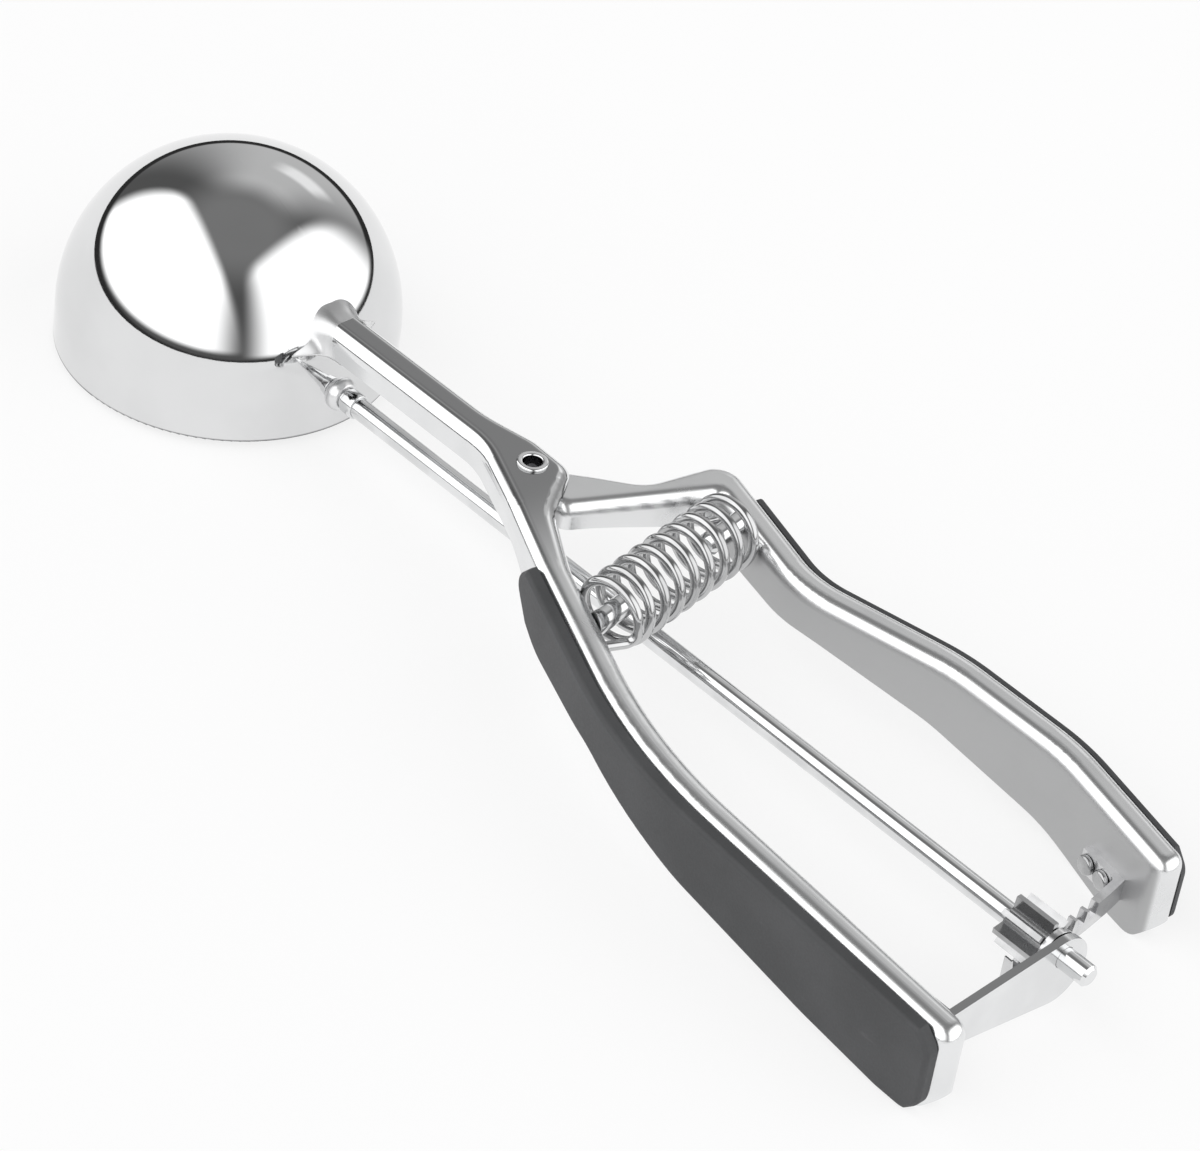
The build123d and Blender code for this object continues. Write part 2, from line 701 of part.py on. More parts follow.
# Pinion on the rod, one tooth straight down, and the washer behind it.
with BuildPart() as pinion:
    with BuildSketch(across.offset(pinion_start)):
        Circle(pinion_root)
        with PolarLocations(0, tooth_count, start_angle=-90):
            Polygon(
                (pinion_root / 2, -pinion_tooth_root_width / 2), (pinion_root, -pinion_tooth_root_width / 2),
                (pinion_tip, -pinion_tooth_tip_width / 2), (pinion_tip, pinion_tooth_tip_width / 2),
                (pinion_root, pinion_tooth_root_width / 2), (pinion_root / 2, pinion_tooth_root_width / 2),
                align=None,
            )
        Circle(rod_radius + press_play, mode=Mode.SUBTRACT)
    extrude(amount=pinion_length)
pinion.part.label = "pinion"
export_step(pinion.part, "parts/pinion.step")

with BuildPart() as rear_washer:
    with BuildSketch(across.offset(washer_start)):
        Circle(rear_washer_radius)
        Circle(rod_radius + press_play, mode=Mode.SUBTRACT)
    extrude(amount=rear_washer_thickness)
rear_washer.part.label = "rear_washer"
export_step(rear_washer.part, "parts/rear_washer.step")

# Rack: an upright strip bent round the pivot, toothed on top, with a tab along the lever's wall.
tooth_turn = degrees(rack_pitch / rack_radius)
rack_end_turn = -(rack_gaps_before + 0.5) * tooth_turn
rack_sweep = rack_foot_turn + 2 * tooth_turn - rack_end_turn
gap_low = (rack_pitch - rack_tooth_base) / 2
gap_top = (rack_pitch - rack_tooth_tip) / 2
tab_stop = (rack_foot[0] - wall_way[0] * rack_tab_length, rack_foot[1] - wall_way[1] * rack_tab_length)
tab_start = (rack_foot[0] + wall_way[0] * rack_thickness / 2, rack_foot[1] + wall_way[1] * rack_thickness / 2)
tab_step = (wall_normal[0] * rack_thickness, wall_normal[1] * rack_thickness)
with BuildPart() as rack:
    with BuildSketch(pivot_plane.offset(rack_low)) as rack_plan:
        with BuildLine():
            inner_edge = CenterArc((0, 0), rack_radius - rack_thickness / 2, rack_end_turn, rack_sweep)
            outer_edge = CenterArc((0, 0), rack_radius + rack_thickness / 2, rack_end_turn, rack_sweep)
            Line(inner_edge @ 0, outer_edge @ 0)
            Line(inner_edge @ 1, outer_edge @ 1)
        make_face()
        with BuildLine():
            Polyline(
                (wall_start[0], wall_start[1]), (wall_stop[0], wall_stop[1]),
                (wall_stop[0], wall_stop[1] + reach), (wall_start[0], wall_start[1] + reach), close=True,
            )
        make_face(mode=Mode.SUBTRACT)
        with BuildLine():
            Polyline(
                tab_stop, tab_start, (tab_start[0] + tab_step[0], tab_start[1] + tab_step[1]),
                (tab_stop[0] + tab_step[0], tab_stop[1] + tab_step[1]), close=True,
            )
        make_face()
    extrude(amount=rack_tip - rack_low)
    for number in range(-rack_gaps_before, rack_gaps_after + 1):
        turn = radians(number * tooth_turn)
        way = cos(turn) * seat.x_dir + sin(turn) * seat.y_dir
        gap_plane = Plane(origin=pivot_plane.origin + way * rack_radius, x_dir=up.cross(way), z_dir=way)
        with BuildSketch(gap_plane):
            Polygon(
                (-gap_low, rack_valley), (gap_low, rack_valley), (gap_top, rack_tip), (-gap_top, rack_tip),
                align=None,
            )
        extrude(amount=2 * rack_thickness, both=True, mode=Mode.SUBTRACT)
    with Locations(rack_rivets):
        with Locations((rack_rivet_inset, 0), (rack_rivet_inset + rack_rivet_pitch, 0)):
            Cylinder(rivet_diameter / 2 + press_play, 4 * rack_thickness, mode=Mode.SUBTRACT)
rack.part.label = "rack"
export_step(rack.part, "parts/rack.step")

# Bracket: a plate across the handles that carries the rod's end, with a tab along the fixed handle.
wall_side = fixed_inner[-1][1]
lobe = (-bracket_lobe_side, -bracket_lobe_drop)


# The point where a line from a corner touches the bracket's round lobe.
def lobe_touch(corner, hand):
    away = (corner[0] - lobe[0], corner[1] - lobe[1])
    turn = atan2(away[1], away[0]) + hand * acos(bracket_lobe / hypot(*away))
    return (lobe[0] + bracket_lobe * cos(turn), lobe[1] + bracket_lobe * sin(turn))


with BuildPart() as rear_bracket:
    with BuildSketch(across.offset(bracket_start)):
        with BuildLine():
            Polyline(
                (wall_side, bracket_root_top), lobe_touch((wall_side, bracket_root_top), -1),
                lobe_touch((wall_side, -bracket_root_drop), 1), (wall_side, -bracket_root_drop), close=True,
            )
        make_face()
        with Locations(lobe):
            Circle(bracket_lobe)
        Circle(rod_radius + turning_play, mode=Mode.SUBTRACT)
    extrude(amount=bracket_sheet)
    with BuildSketch(bracket_rivets):
        with Locations((-bracket_sheet, 0)):
            Rectangle(
                bracket_tab + bracket_sheet, bracket_root_top + bracket_root_drop,
                align=(Align.MIN, Align.CENTER),
            )
        with Locations((bracket_rivet_inset, 0), (bracket_rivet_inset + bracket_rivet_pitch, 0)):
            Circle(rivet_diameter / 2 + press_play, mode=Mode.SUBTRACT)
    extrude(amount=bracket_sheet)
rear_bracket.part.label = "rear_bracket"
export_step(rear_bracket.part, "parts/rear_bracket.step")


# One rivet through a tab and the handle's wall, headed on both sides.
def draw_rivet(plane, tab_sheet):
    with BuildPart() as rivet:
        with BuildSketch(plane.offset(tab_sheet)):
            Circle(rivet_head / 2)
        extrude(amount=rivet_head_rise)
        fillet(rivet.faces().sort_by(Axis(plane.origin, plane.z_dir))[-1].edges(), radius=rivet_head_rise / 2)
        with BuildSketch(plane.offset(-sheet)):
            Circle(rivet_diameter / 2)
        extrude(amount=sheet + tab_sheet)
        with BuildSketch(plane.offset(-sheet)):
            Circle(rivet_head / 2)
        extrude(amount=-rivet_head_rise)
    return rivet.part


rivets = {
    "rack_rivet_rear": (rack_rivets, rack_rivet_inset, rack_thickness),
    "rack_rivet_front": (rack_rivets, rack_rivet_inset + rack_rivet_pitch, rack_thickness),
    "bracket_rivet_rear": (bracket_rivets, bracket_rivet_inset, bracket_sheet),
    "bracket_rivet_front": (bracket_rivets, bracket_rivet_inset + bracket_rivet_pitch, bracket_sheet),
}
for name, (plane, inset, tab_sheet) in rivets.items():
    rivet_part = draw_rivet(
        Plane(origin=plane.from_local_coords((inset, 0, 0)), x_dir=plane.x_dir, z_dir=plane.z_dir), tab_sheet
    )
    rivet_part.label = name
    export_step(rivet_part, "parts/" + name + ".step")


# A point part of the way from one corner to the next.
def toward(start, stop, length):
    share = length / hypot(stop[0] - start[0], stop[1] - start[1])
    return (start[0] + (stop[0] - start[0]) * share, start[1] + (stop[1] - start[1]) * share)


# Eight-sided outline that trims a grip's ends, from the heights of its top and lower edges there.
def grip_ends(start, stop, top, low, drop):
    third = (stop - start) / 3
    top_start = along(*top, start)[1] - drop - grip_corner
    top_stop = along(*top, stop)[1] - drop - grip_corner
    low_start = along(low[0], low[1], start)[1] + grip_lift + grip_corner
    low_stop = along(low[-2], low[-1], stop)[1] + grip_lift + grip_corner
    return [
        (start, low_start), (start, top_start),
        (start + third, top_start + third), (stop - third, top_stop + third),
        (stop, top_stop), (stop, low_stop),
        (stop - third, low_stop - third), (start + third, low_start - third),
    ]


# Outer rim of a grip: where its outer faces meet its top, bottom and ends.
def grip_rim(part, side):
    outer = part.faces().filter_by(lambda face: face.normal_at().dot(side) > 0.7)
    rim = part.faces().filter_by(lambda face: abs(face.normal_at().dot(side)) < 0.3)
    return outer.edges() & rim.edges()


fixed_low_line = [(pivot_reach + x, z) for x, z in fixed_low] + [(fixed_end, table(fixed_end))]
fixed_grip_inner = (
    [toward(fixed_outer[1], neck_root, grip_lead)]
    + fixed_outer[1:3]
    + [toward(fixed_outer[3], fixed_outer[2], grip_tail)]
)
fixed_grip_outer = beside(fixed_grip_inner, -fixed_grip_thickness)
fixed_bend_at = dict(zip(fixed_plan, fixed_plan_radii))
fixed_grip_bends = [fixed_bend_at[corner] for corner in fixed_outer[1:3]]
fixed_grip_outer_bends = beside_bends(fixed_grip_inner, [0] + fixed_grip_bends, -fixed_grip_thickness)[1:]
fixed_grip_side = side_outline(
    deck_height - fixed_grip_drop, fixed_end, handle_top - fixed_grip_drop,
    fixed_low, fixed_low_front, grip_lift,
)
fixed_grip_trim = grip_ends(
    fixed_grip_inner[0][0], fixed_grip_inner[-1][0],
    ((knee, deck_height), (fixed_end, handle_top)), fixed_low_line, fixed_grip_drop,
)
with BuildPart() as fixed_grip:
    with BuildSketch(seat.offset(-reach)):
        with BuildLine():
            FilletPolyline(
                *fixed_grip_inner, *fixed_grip_outer[::-1],
                radius=[0] + fixed_grip_bends + [0, 0] + fixed_grip_outer_bends[::-1] + [0], close=True,
            )
        make_face()
    extrude(amount=2 * reach)
    with BuildSketch(upright):
        with BuildLine():
            FilletPolyline(*fixed_grip_side[0], radius=fixed_grip_side[1], close=True)
        make_face()
        with BuildLine():
            FilletPolyline(*fixed_grip_trim, radius=eased(fixed_grip_trim, [grip_end_bend] * 8), close=True)
        make_face(mode=Mode.INTERSECT)
    extrude(amount=reach, both=True, mode=Mode.INTERSECT)
    fillet(grip_rim(fixed_grip, -seat.y_dir), radius=grip_round)
fixed_grip.part.label = "fixed_grip"
export_step(fixed_grip.part, "parts/fixed_grip.step")

moving_low_line = [(pivot_reach + x, z) for x, z in moving_low] + [(moving_end, table(moving_end))]
moving_grip_inner = (
    [toward(moving_outer[1], moving_outer[2], grip_hump_lead)]
    + moving_outer[2:5]
    + [toward(moving_outer[5], moving_outer[4], grip_tail)]
)
moving_grip_outer = beside(moving_grip_inner, moving_grip_thickness)
moving_bend_at = dict(zip(moving_plan, moving_plan_radii))
moving_grip_bends = [moving_bend_at[corner] for corner in moving_outer[2:5]]
moving_grip_outer_bends = beside_bends(moving_grip_inner, [0] + moving_grip_bends, moving_grip_thickness)[1:]
moving_grip_side = side_outline(
    moving_deck - moving_grip_drop, moving_end, moving_rear_top - moving_grip_drop,
    moving_low, moving_low_front, grip_lift,
)
moving_grip_trim = grip_ends(
    moving_grip_inner[0][0], moving_grip_inner[-1][0],
    ((knee, moving_deck), (moving_end, moving_rear_top)), moving_low_line[1:], moving_grip_drop,
)
with BuildPart() as moving_grip:
    with BuildSketch(seat.offset(-reach)):
        with BuildLine():
            FilletPolyline(
                *moving_grip_inner, *moving_grip_outer[::-1],
                radius=[0] + moving_grip_bends + [0, 0] + moving_grip_outer_bends[::-1] + [0], close=True,
            )
        make_face()
    extrude(amount=2 * reach)
    with BuildSketch(upright):
        with BuildLine():
            FilletPolyline(*moving_grip_side[0], radius=moving_grip_side[1], close=True)
        make_face()
        with BuildLine():
            FilletPolyline(*moving_grip_trim, radius=eased(moving_grip_trim, [grip_end_bend] * 8), close=True)
        make_face(mode=Mode.INTERSECT)
    extrude(amount=reach, both=True, mode=Mode.INTERSECT)
    fillet(grip_rim(moving_grip, seat.y_dir), radius=grip_round)
moving_grip.part.label = "moving_grip"
export_step(moving_grip.part, "parts/moving_grip.step")

# Return spring: a coil between the two handles, its ends standing square on their walls.
spring_base = Vector(*along(fixed_inner[1], fixed_inner[2], pivot_reach + spring_at_fixed), spring_height)
spring_far = Vector(*along(moving_inner[1], moving_inner[2], pivot_reach + spring_at_moving), spring_height)
spring_axis = (spring_far - spring_base).normalized()
spring_side = Vector(spring_axis.Y, -spring_axis.X, 0)
spring_up = Vector(0, 0, 1)
fixed_way = (Vector(*fixed_inner[2]) - Vector(*fixed_inner[1])).normalized()
moving_way = (Vector(*moving_inner[2]) - Vector(*moving_inner[1])).normalized()
fixed_normal = Vector(-fixed_way.Y, fixed_way.X, 0)
moving_normal = Vector(moving_way.Y, -moving_way.X, 0)
coil_length = (spring_far - spring_base).length - spring_stand_fixed - spring_stand_moving
coil_turns = spring_half_turns / 2
coil_lead = coil_length / (coil_turns - 0.5)


# Point and direction of the coil after some turns; its lead eases in and out over half a turn.
def coil(turns):
    left = coil_turns - turns
    climb = coil_lead * (turns - 0.25)
    rate = coil_lead
    if turns < 0.5:
        climb = coil_lead * turns ** 2
        rate = 2 * coil_lead * turns
    if left < 0.5:
        climb = coil_length - coil_lead * left ** 2
        rate = 2 * coil_lead * left
    angle = 2 * pi * turns
    radius = spring_coil / 2
    point = spring_base + spring_axis * (spring_stand_fixed + climb)
    point = point + spring_side * radius * cos(angle) + spring_up * radius * sin(angle)
    round_way = (spring_up * cos(angle) - spring_side * sin(angle)) * 2 * pi * radius
    return point, (round_way + spring_axis * rate).normalized()


def placed(point):
    return seat.from_local_coords(point)


def turned(way):
    return seat.x_dir * way.X + seat.y_dir * way.Y + seat.z_dir * way.Z


coil_start, coil_start_way = coil(0)
coil_stop, coil_stop_way = coil(coil_turns)
leg_start = coil_start - (coil_start_way + fixed_normal) * spring_end_bend
leg_stop = coil_stop + (coil_stop_way - moving_normal) * spring_end_bend
foot_start = leg_start - fixed_normal * (leg_start - spring_base).dot(fixed_normal)
foot_stop = leg_stop - moving_normal * (leg_stop - spring_far).dot(moving_normal)
with BuildPart() as return_spring:
    with BuildLine() as spring_path:
        Line(placed(foot_start), placed(leg_start))
        TangentArc(placed(leg_start), placed(coil_start), tangent=turned(fixed_normal))
        for quarter in range(2 * spring_half_turns):
            start, start_way = coil(quarter / 4)
            stop, stop_way = coil((quarter + 1) / 4)
            span = stop - start
            both = start_way + stop_way
            spread = 2 * (1 - start_way.dot(stop_way))
            arm = (sqrt(span.dot(both) ** 2 + spread * span.dot(span)) - span.dot(both)) / spread
            first_corner = start + start_way * arm
            last_corner = stop - stop_way * arm
            middle = (first_corner + last_corner) * 0.5
            TangentArc(placed(start), placed(middle), tangent=turned(start_way))
            TangentArc(placed(middle), placed(stop), tangent=turned(last_corner - first_corner))
        TangentArc(placed(coil_stop), placed(leg_stop), tangent=turned(coil_stop_way))
        Line(placed(leg_stop), placed(foot_stop))
    with BuildSketch(Plane(origin=placed(foot_start), z_dir=turned(fixed_normal))):
        Circle(spring_wire / 2)
    sweep()
return_spring.part.label = "return_spring"
export_step(return_spring.part, "parts/return_spring.step")

# Least gap between the spring's turns, on points along the wire half a turn or more apart.
wire_length = spring_path.wires()[0].length
wire_steps = 24 * spring_half_turns
wire_points = [spring_path.wires()[0].position_at(i / wire_steps) for i in range(wire_steps + 1)]
half_turn_steps = int(pi * spring_coil / 2 / wire_length * wire_steps)
least_gap = min(
    (wire_points[i] - wire_points[j]).length - spring_wire
    for i in range(wire_steps + 1)
    for j in range(i + half_turn_steps, wire_steps + 1)
)
straight_ends = [round((leg_start - foot_start).length, 3), round((leg_stop - foot_stop).length, 3)]
print("spring: least gap to itself", round(least_gap, 3), "straight ends", straight_ends)
print("spring: volume", round(return_spring.part.volume, 2), "section times length",
      round(pi * spring_wire ** 2 / 4 * wire_length, 2))

# Guide pins inside the two ends of the spring.
guides = {
    "fixed_spring_pin": (spring_base, spring_axis, fixed_normal),
    "moving_spring_pin": (spring_far, -spring_axis, moving_normal),
}
for name, (foot, way, normal) in guides.items():
    with BuildPart() as guide:
        with BuildSketch(Plane(origin=placed(foot - way * spring_pin_diameter), z_dir=turned(way))):
            Circle(spring_pin_diameter / 2)
        extrude(amount=spring_pin_diameter + spring_pin_length)
        chamfer(guide.faces().sort_by(Axis(placed(foot), turned(way)))[-1].edges(), length=spring_pin_chamfer)
        split(bisect_by=Plane(origin=placed(foot), z_dir=turned(normal)), keep=Keep.TOP)
    guide.part.label = name
    export_step(guide.part, "parts/" + name + ".step")
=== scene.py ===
import json
import math

import bmesh
import bpy
import numpy as np
from mathutils import Matrix


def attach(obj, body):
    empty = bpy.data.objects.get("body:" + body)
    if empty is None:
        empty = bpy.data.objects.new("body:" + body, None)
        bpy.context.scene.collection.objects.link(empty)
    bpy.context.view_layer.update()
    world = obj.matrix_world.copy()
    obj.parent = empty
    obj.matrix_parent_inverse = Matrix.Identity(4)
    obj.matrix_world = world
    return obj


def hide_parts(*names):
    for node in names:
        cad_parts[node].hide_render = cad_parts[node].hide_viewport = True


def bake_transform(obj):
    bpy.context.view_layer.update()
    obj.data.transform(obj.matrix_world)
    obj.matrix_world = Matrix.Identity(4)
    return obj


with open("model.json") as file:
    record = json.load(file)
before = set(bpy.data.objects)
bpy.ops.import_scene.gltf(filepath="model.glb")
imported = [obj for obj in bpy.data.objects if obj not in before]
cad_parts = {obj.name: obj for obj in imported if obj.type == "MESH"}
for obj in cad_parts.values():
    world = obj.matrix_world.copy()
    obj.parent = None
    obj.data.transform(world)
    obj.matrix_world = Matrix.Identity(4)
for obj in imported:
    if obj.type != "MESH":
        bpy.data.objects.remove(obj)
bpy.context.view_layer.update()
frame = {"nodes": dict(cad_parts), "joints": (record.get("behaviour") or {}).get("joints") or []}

nodes = frame["nodes"]
joints = {joint["name"]: joint for joint in frame["joints"]}

# The scoop's own axes, read from its two joints: along the rod, across to the lever, and up.
alongRod = -np.array(joints["blade_turn"]["axis"])
upright = -np.array(joints["squeeze"]["axis"])
acrossHandles = np.cross(upright, alongRod)
rodMark = 0.080  # the blade joint is marked this far behind the middle of the bowl
pivotReach = 0.0714  # and the squeeze joint this far
bowlMiddle = np.array(joints["blade_turn"]["pos_m"]) - rodMark * alongRod
pivotTop = np.array(joints["squeeze"]["pos_m"])
millimetre = 0.001


# points given along, across and up from the bowl's middle, in millimetres, as places in the frame
def place(points):
    points = np.asarray(points, float) * millimetre
    return bowlMiddle + points @ np.array([alongRod, acrossHandles, upright])


print("frame: scoop axes read")


# One socket of a node tree. Operators on it add Math nodes, and any other node comes from node().
class Wire:
    def __init__(self, tree, socket=None):
        self.tree = tree
        self.socket = socket

    def node(self, kind, settings=None, inputs=None, output=0):
        made = self.tree.nodes.new(kind)
        for key, value in (settings or {}).items():
            setattr(made, key, value)
        for key, value in (inputs or {}).items():
            if isinstance(value, Wire):
                self.tree.links.new(value.socket, made.inputs[key])
            else:
                made.inputs[key].default_value = value
        return Wire(self.tree, made.outputs[output])

    def math(self, operation, *others):
        values = dict(enumerate(others, 1))
        return self.node("ShaderNodeMath", {"operation": operation}, {0: self, **values})

    def flipped(self, operation, first):
        return self.node("ShaderNodeMath", {"operation": operation}, {0: first, 1: self})

    def __add__(self, other):
        return self.math("ADD", other)

    def __radd__(self, other):
        return self.flipped("ADD", other)

    def __sub__(self, other):
        return self.math("SUBTRACT", other)

    def __rsub__(self, other):
        return self.flipped("SUBTRACT", other)

    def __mul__(self, other):
        return self.math("MULTIPLY", other)

    def __rmul__(self, other):
        return self.flipped("MULTIPLY", other)

    # 0 below low, 1 above high, with a smooth step between
    def step(self, low, high):
        settings = {"interpolation_type": "SMOOTHSTEP"}
        return self.node("ShaderNodeMapRange", settings, {"Value": self, "From Min": low, "From Max": high})

    def mixColour(self, first, second):
        settings = {"data_type": "RGBA"}
        return self.node("ShaderNodeMix", settings, {"Factor": self, 6: first, 7: second}, 2)


# a new material with its Principled shader, and a wire to start expressions from
def newFinish(name):
    material = bpy.data.materials.new(name)
    material.use_nodes = True
    tree = material.node_tree
    return material, tree.nodes["Principled BSDF"], Wire(tree)


def plug(wire, shader, socket):
    wire.tree.links.new(wire.socket, shader.inputs[socket])


# object coordinates, and the way the surface faces as one of its X, Y or Z parts
def ownPlace(start):
    return start.node("ShaderNodeTexCoord", output="Object")


def ownFacing(start, part):
    normal = start.node("ShaderNodeTexCoord", output="Normal")
    return start.node("ShaderNodeSeparateXYZ", None, {0: normal}, part)


# object coordinates stretched by a scale along, across and up, so that grain can run with the handles
def grainSpace(start, scale):
    return start.node("ShaderNodeMapping", None, {"Vector": ownPlace(start), "Scale": scale})


def noise(start, space, scale, detail, rough=0.5):
    return start.node("ShaderNodeTexNoise", None,
                      {"Vector": space, "Scale": scale, "Detail": detail, "Roughness": rough})


# how far a place on the piece lies from a point, along a direction
def distanceAlong(start, point, way):
    settings = {"operation": "DOT_PRODUCT"}
    return start.node("ShaderNodeVectorMath", settings, {0: ownPlace(start), 1: way}, "Value") - point @ way


# Steel: metal with faint polishing lines, hazy patches and a slight change of tone. The spans say where in
# the noise the second tone and the haze come in, and a look may also ask for the masks below.
steelGrain = {
    "toneSpan": (0.35, 0.7), "hazeSpan": (0.45, 0.75), "hazeDetail": 3, "lineDetail": 4, "lineFine": 0.6,
}


def steelFinish(look):
    material, shader, start = newFinish(look["name"])
    shader.inputs["Metallic"].default_value = 1.0
    plain = grainSpace(start, (1, 1, 1))
    lined = grainSpace(start, look["lineStretch"])
    haze = noise(start, plain, look["hazeScale"], steelGrain["hazeDetail"])
    lines = noise(start, lined, look["lineScale"], steelGrain["lineDetail"], steelGrain["lineFine"])
    colour = haze.step(*steelGrain["toneSpan"]).mixColour((*look["tone"], 1), (*look["otherTone"], 1))
    hazed = haze.step(*steelGrain["hazeSpan"]) * look["hazeRough"]
    roughness = look["roughness"] + hazed + (lines - 0.5) * look["lineRough"]
    if "satinShadeWay" in look:  # walls that face this way across the handles are rougher, the satin face of the sheet, and their colour is darkened as painted shade
        satinAndShade = (ownFacing(start, "Y") * look["satinShadeWay"]).step(*look["satinShadeFacing"])
        colour = satinAndShade.mixColour(colour, (*look["paintedWallShadeTone"], 1))
        roughness = roughness + satinAndShade * look["satinRough"]
    behind = 0
    if "rearRough" in look:  # the polish is finer on the shank than on the handles behind the pivot
        behind = distanceAlong(start, pivotTop, alongRod).step(*look["rearStart"])
        roughness = roughness + behind * look["rearRough"]
    if "paintedReflectionTone" in look:  # flat tops, only up to the pivot on a handle, are darkened: a painted reflection of the dark studio
        paintedDarkTop = ownFacing(start, "Z").step(*look["paintedReflectionFacing"]) * (1 - behind)
        colour = paintedDarkTop.mixColour(colour, (*look["paintedReflectionTone"], 1))
    if "rimHeight" in look:  # the rim's bottom edge is made rougher and painted dark, a painted shade line where the bowl meets the table
        overRim = distanceAlong(start, bowlMiddle, upright).step(*look["rimHeight"])
        colour = overRim.mixColour((*look["rimShadeTone"], 1), colour)
        roughness = roughness + (1 - overRim) * look["rimRough"]
    if "shadedBoreReach" in look:  # the pivot's bore, out to this distance from its axis, is painted dark as shade inside the hole
        away = start.node("ShaderNodeMapping", None, {"Vector": ownPlace(start), "Location": -pivotTop})
        flat = start.node("ShaderNodeVectorMath", {"operation": "MULTIPLY"}, {0: away, 1: (1, 1, 0)})
        far = start.node("ShaderNodeVectorMath", {"operation": "LENGTH"}, {0: flat}, "Value")
        inside = 1 - far.step(*look["shadedBoreReach"])
        colour = inside.mixColour(colour, (*look["boreShadeTone"], 1))
    plug(colour, shader, "Base Color")
    plug(roughness, shader, "Roughness")
    bump = start.node("ShaderNodeBump", None,
                      {"Height": lines, "Strength": look["bump"], "Distance": look["bumpHeight"]})
    plug(bump, shader, "Normal")
    return material


# tones and roughness from 0 to 1, heights and distances in metres
polishLook = {
    "hazeScale": 45, "hazeRough": 0.03, "lineStretch": (1, 1, 6), "lineScale": 700, "lineRough": 0.02,
    "bump": 0.02, "bumpHeight": 0.00002,
}
# the bowl's rim carries a painted dark shade line along its bottom edge
bowlSteel = steelFinish({
    **polishLook, "name": "bowl_steel", "tone": (0.76, 0.763, 0.767), "otherTone": (0.71, 0.713, 0.717),
    "roughness": 0.035, "rimHeight": (-0.0061, -0.0057), "rimShadeTone": (0.16, 0.16, 0.165), "rimRough": 0.25,
})
# the eyelet's bore is painted dark as shade inside the hole
eyeletSteel = steelFinish({
    **polishLook, "name": "eyelet_steel", "tone": (0.86, 0.865, 0.87), "otherTone": (0.80, 0.805, 0.81),
    "roughness": 0.05, "shadedBoreReach": (0.0015228, 0.00162), "boreShadeTone": (0.09, 0.09, 0.095),
})
pressedLook = {
    "name": "pressed_steel", "tone": (0.82, 0.825, 0.83), "otherTone": (0.76, 0.765, 0.77),
    "roughness": 0.10, "hazeScale": 80, "hazeRough": 0.07, "lineStretch": (0.06, 1, 1), "lineScale": 2600,
    "lineRough": 0.06, "bump": 0.05, "bumpHeight": 0.00003,
}
pressedSteel = steelFinish(pressedLook)
# flat tops that face up are painted darker, a painted reflection standing in for the dark studio they mirror
paintedReflectionLook = {"paintedReflectionTone": (0.33, 0.332, 0.335), "paintedReflectionFacing": (0.975, 0.996)}
bracketSteel = steelFinish({**pressedLook, **paintedReflectionLook, "name": "bracket_steel"})
# both handles are duller on the side that faces the rod, and that side's colour is darkened as painted shade
handleLook = {
    **pressedLook, "paintedWallShadeTone": (0.46, 0.462, 0.465), "satinRough": 0.16, "satinShadeFacing": (0.75, 0.95),
    "rearRough": 0.13,
}
fixedSteel = steelFinish({
    **handleLook, **paintedReflectionLook, "name": "fixed_handle_steel", "satinShadeWay": 1, "rearStart": (0.004, 0.026),
})
movingSteel = steelFinish({
    **handleLook, "name": "moving_handle_steel", "satinShadeWay": -1, "rearStart": (-0.006, 0.002),
})
drawnSteel = steelFinish({
    "name": "drawn_steel", "tone": (0.80, 0.805, 0.81), "otherTone": (0.70, 0.705, 0.71),
    "roughness": 0.09, "hazeScale": 160, "hazeRough": 0.06, "lineStretch": (0.04, 1, 1), "lineScale": 3600,
    "lineRough": 0.05, "bump": 0.04, "bumpHeight": 0.00002,
})
weldSteel = steelFinish({
    "name": "weld_steel", "tone": (0.80, 0.803, 0.807), "otherTone": (0.70, 0.703, 0.707),
    "roughness": 0.30, "hazeScale": 160, "hazeRough": 0.10, "lineStretch": (1, 1, 1), "lineScale": 2200,
    "lineRough": 0.08, "bump": 0.08, "bumpHeight": 0.00003,
})
springSteel = steelFinish({
    "name": "spring_steel", "tone": (0.56, 0.562, 0.566), "otherTone": (0.46, 0.462, 0.466),
    "roughness": 0.12, "hazeScale": 160, "hazeRough": 0.06, "lineStretch": (1, 0.08, 1), "lineScale": 3600,
    "lineRough": 0.05, "bump": 0.04, "bumpHeight": 0.00002,
})
groundLook = {
    "hazeScale": 260, "hazeRough": 0.10, "lineStretch": (1, 0.2, 1), "lineScale": 4200, "lineRough": 0.08,
    "bump": 0.08, "bumpHeight": 0.00003,
}
darkSteel = steelFinish({
    **groundLook, "name": "dark_steel", "tone": (0.50, 0.502, 0.506), "otherTone": (0.40, 0.402, 0.406),
    "roughness": 0.20,
})
cutSteel = steelFinish({
    **groundLook, "name": "cut_steel", "tone": (0.70, 0.70, 0.705), "otherTone": (0.60, 0.60, 0.61),
    "roughness": 0.16,
})


# Grip rubber: dark and matt, with a fine moulded grain, dusty patches and small scuffs.
def rubberFinish(look):
    material, shader, start = newFinish(look["name"])
    plain = grainSpace(start, (1, 1, 1))
    dust = noise(start, plain, look["dustScale"], look["dustDetail"])
    grain = noise(start, plain, look["grainScale"], look["grainDetail"])
    scuffs = noise(start, grainSpace(start, look["scuffStretch"]), look["scuffScale"], look["scuffDetail"])
    toned = dust.step(*look["dustSpan"]).mixColour((*look["tone"], 1), (*look["dustTone"], 1))
    scuffed = (scuffs.step(*look["scuffSpan"]) * look["scuffShare"]).mixColour(toned, (*look["scuffTone"], 1))
    plug(scuffed, shader, "Base Color")
    plug(look["roughness"] + (grain - 0.5) * look["grainRough"], shader, "Roughness")
    bump = start.node("ShaderNodeBump", None,
                      {"Height": grain, "Strength": look["bump"], "Distance": look["bumpHeight"]})
    plug(bump, shader, "Normal")
    return material


